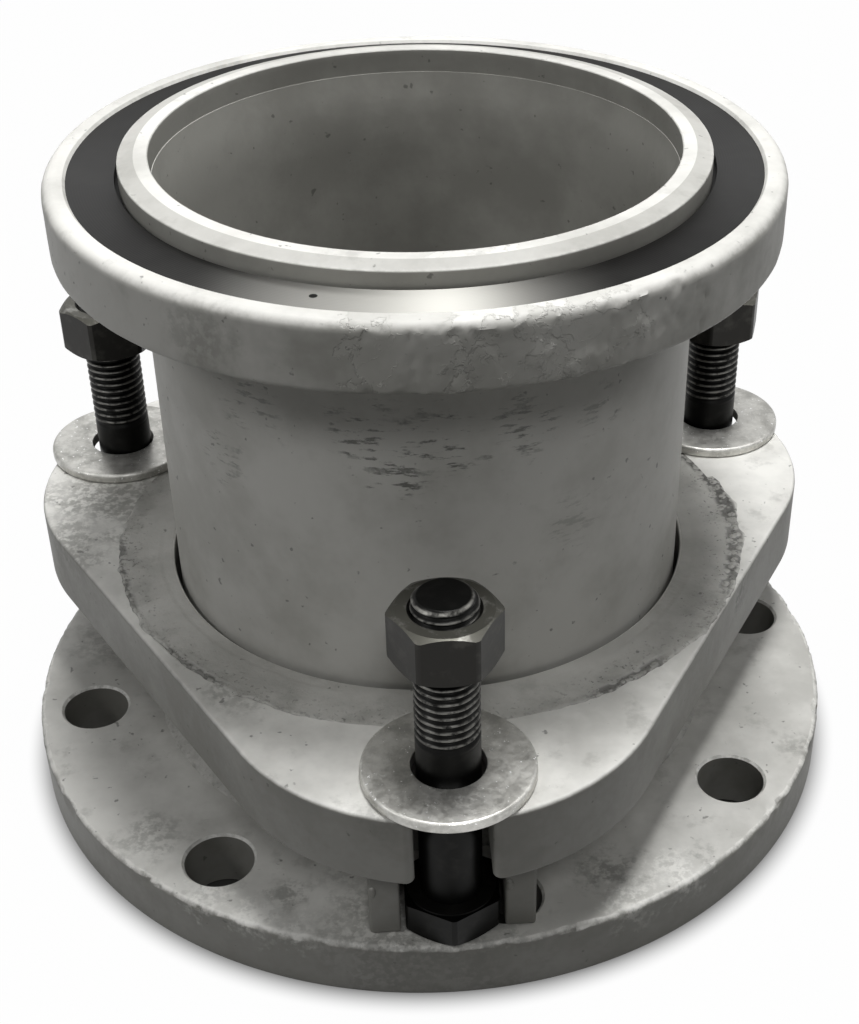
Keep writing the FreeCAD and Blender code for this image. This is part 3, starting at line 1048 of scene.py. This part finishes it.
class COUPLING_OT_bolts(bpy.types.Operator):
    """Hexagon bolts with helical threads"""
    bl_idname = "coupling.bolts"
    bl_label = "Bolts"

    def execute(self, context):
        tree = thread_tree()
        dark, ground = "oily_steel", "black_steel"
        hollow_r = BOLT_R - 0.6 * MM
        face_r = sizes().across_flats * 0.48
        for name in SET_NAMES:
            node = "bolt_" + name
            centre = middle(node)
            foot = low_z(node)
            top = foot + HEAD_HEIGHT
            turn = math.radians(LOBE_DEGREES[name])
            head = hexagon_rows("bolt_head_" + name, [
                (hollow_r, foot, 0, dark),
                (face_r, foot, 0, dark),
                (None, foot, -1, dark),
                (None, top - HEAD_FACE, 0, dark),
                (face_r, top - HEAD_FACE, 0, dark),
                (sizes().across_flats * 0.475, top, 0, ground),
                (hollow_r, top, 0, dark),
            ], centre, turn, [dark, ground])
            shank = linked("shank_" + name, bpy.data.meshes.new("shank_" + name))
            modifier = shank.modifiers.new("thread", "NODES")
            modifier.node_group = tree
            set_inputs(modifier, {
                "Radius": BOLT_R, "Depth": THREAD_DEPTH, "Pitch": sizes().pitch, "Chamfer": BOLT_CHAMFER,
                "Length": high_z(node) - top, "Thread": sizes().thread_length, "Finish": material(dark),
            })
            keep_plain(shank)
            shank.data.transform(Matrix.Translation((centre.x, centre.y, top)))
            shade(shank, 60)
            with bpy.context.temp_override(active_object=head, selected_editable_objects=[head, shank]):
                bpy.ops.object.join()
            place_piece(head, node, [node])
        return {"FINISHED"}


class COUPLING_OT_nuts(bpy.types.Operator):
    """Hexagon nuts with chamfered corners and a countersunk bore"""
    bl_idname = "coupling.nuts"
    bl_label = "Nuts"

    def execute(self, context):
        # The nuts' top chamfer and top face take the paler steel: a painted highlight.
        dark, painted_highlight = "black_steel", "rubbed_steel"
        mouth_r = NUT_BORE_R + NUT_SINK
        flat_r = sizes().across_flats * 0.4825
        for name in SET_NAMES:
            node = "nut_" + name
            low, high = heights(node)
            nut = hexagon_rows("hex_nut_" + name, [
                (mouth_r, low, 0, dark),
                (flat_r, low, 0, dark),
                (None, low, -1, dark),
                (None, high, 1, painted_highlight),
                (flat_r, high, 0, painted_highlight),
                (mouth_r, high, 0, dark),
                (NUT_BORE_R, high - NUT_SINK, 0, dark),
                (NUT_BORE_R, low + NUT_SINK, 0, dark),
            ], middle(node), math.radians(LOBE_DEGREES[name] + 30 + NUT_TURNS[name]), [dark, painted_highlight])
            place_piece(nut, node, [node])
        return {"FINISHED"}


class COUPLING_OT_washers(bpy.types.Operator):
    """Large loose washers"""
    bl_idname = "coupling.washers"
    bl_label = "Washers"

    def execute(self, context):
        zinc = "zinc_plate"
        for name in SET_NAMES:
            node = "washer_" + name
            low, high = heights(node)
            rim = outer_r(node)
            centre = middle(node)
            points = rounded([
                (WASHER_HOLE_R, low, 0, zinc), (rim, low, 0.9 * MM, zinc),
                (rim, high, 1.1 * MM, zinc), (WASHER_HOLE_R, high, 0.3 * MM, zinc),
            ])
            washer = lathe("flat_washer_" + name, spaced(points, 3 * MM), 160, None, (centre.x, centre.y))
            place_piece(washer, node, [node])
        return {"FINISHED"}


# Studio

class COUPLING_OT_stage(bpy.types.Operator):
    """Pale floor, soft lights and the camera"""
    bl_idname = "coupling.stage"
    bl_label = "Stage"

    def execute(self, context):
        self.floor()
        self.world()
        self.lights()
        self.camera()
        context.scene.view_settings.view_transform = "Standard"
        return {"FINISHED"}

    def floor(self):
        """Pale where the camera and shiny metal see it, and dark in the shadow under the flange."""
        mesh = bpy.data.meshes.new("floor")
        corners = [(x * FLOOR_SIZE, y * FLOOR_SIZE, 0) for x, y in ((-1, -1), (1, -1), (1, 1), (-1, 1))]
        mesh.from_pydata(corners, [], [(0, 1, 2, 3)])
        floor = linked("floor", mesh)
        pale, place = new_material("pale_floor")
        tree = place.tree
        clear = place.vector("LENGTH", "Value").step(*FLOOR_SHADOW)
        matt = add(tree, "ShaderNodeBsdfDiffuse", {"Color": "#4A4A48"})
        white = add(tree, "ShaderNodeEmission", {"Color": "#FFFFFF", "Strength": FLOOR_GLOW})
        path = add(tree, "ShaderNodeLightPath").outputs
        seen = Value(tree, path["Is Camera Ray"]).most(path["Is Glossy Ray"])
        share = seen * clear * FLOOR_SHARE
        mixed = add(tree, "ShaderNodeMixShader", {0: share, 1: matt, 2: white})
        add(tree, "ShaderNodeOutputMaterial", {"Surface": mixed})
        mesh.materials.append(pale)

    def world(self):
        """White to the camera, a little darker in reflections and dim as a light."""
        world = bpy.data.worlds.new("studio")
        world.use_nodes = True
        tree = world.node_tree
        tree.nodes.clear()
        path = add(tree, "ShaderNodeLightPath").outputs
        seen = Value(tree, path["Is Camera Ray"]).most(path["Is Transmission Ray"])
        soft, glossy, white = (
            add(tree, "ShaderNodeBackground", {"Color": "#FFFFFF", "Strength": glow})
            for glow in WORLD_GLOWS)
        shiny = add(tree, "ShaderNodeMixShader", {0: path["Is Glossy Ray"], 1: soft, 2: glossy})
        mixed = add(tree, "ShaderNodeMixShader", {0: seen, 1: shiny, 2: white})
        add(tree, "ShaderNodeOutputWorld", {"Surface": mixed})
        bpy.context.scene.world = world

    def lights(self):
        for name, (place, size, watts) in LAMPS.items():
            lamp = bpy.data.lights.new(name, "AREA")
            lamp.energy = watts
            lamp.shape = "DISK"
            lamp.size = size
            made = linked(name, lamp)
            made.location = place
            made.rotation_euler = (LAMP_TARGET - Vector(place)).to_track_quat("-Z", "Y").to_euler()

    def camera(self):
        data = bpy.data.cameras.new("camera")
        data.sensor_width = SENSOR_WIDTH
        data.lens = FOCAL_LENGTH * SENSOR_WIDTH / IMAGE_HEIGHT
        data.shift_x, data.shift_y = (offset / IMAGE_HEIGHT for offset in CENTRE_OFFSET)
        data.clip_end = 20
        camera = linked("camera", data)
        camera.location = CAMERA_PLACE
        level = math.cos(CAMERA_PITCH)
        ahead = math.cos(CAMERA_YAW) * level
        forward = Vector((math.sin(CAMERA_YAW) * level, ahead, math.sin(CAMERA_PITCH)))
        camera.rotation_euler = forward.to_track_quat("-Z", "Y").to_euler()
        bpy.context.scene.camera = camera


class COUPLING_PT_panel(bpy.types.Panel):
    """Lists the coupling's pieces"""
    bl_idname = "COUPLING_PT_panel"
    bl_label = "Spool coupling"
    bl_space_type = "VIEW_3D"
    bl_region_type = "UI"
    bl_category = "Coupling"

    def draw(self, context):
        for operator in OPERATORS:
            self.layout.operator(operator.bl_idname)


OPERATORS = (
    COUPLING_OT_base_flange, COUPLING_OT_socket, COUPLING_OT_lobed_plate, COUPLING_OT_head_guides,
    COUPLING_OT_spool, COUPLING_OT_seals, COUPLING_OT_bolts, COUPLING_OT_nuts, COUPLING_OT_washers,
    COUPLING_OT_stage,
)
CLASSES = (CouplingSizes, CouplingColours) + OPERATORS + (COUPLING_PT_panel,)


def register():
    for item in CLASSES:
        bpy.utils.register_class(item)
    bpy.types.Scene.coupling_sizes = bpy.props.PointerProperty(type=CouplingSizes)
    bpy.types.Scene.coupling_colours = bpy.props.PointerProperty(type=CouplingColours)


def unregister():
    del bpy.types.Scene.coupling_colours
    del bpy.types.Scene.coupling_sizes
    for item in reversed(CLASSES):
        bpy.utils.unregister_class(item)


def main():
    register()
    for operator in OPERATORS:
        group, name = operator.bl_idname.split(".")
        getattr(getattr(bpy.ops, group), name)()


if __name__ == "__main__":
    main()
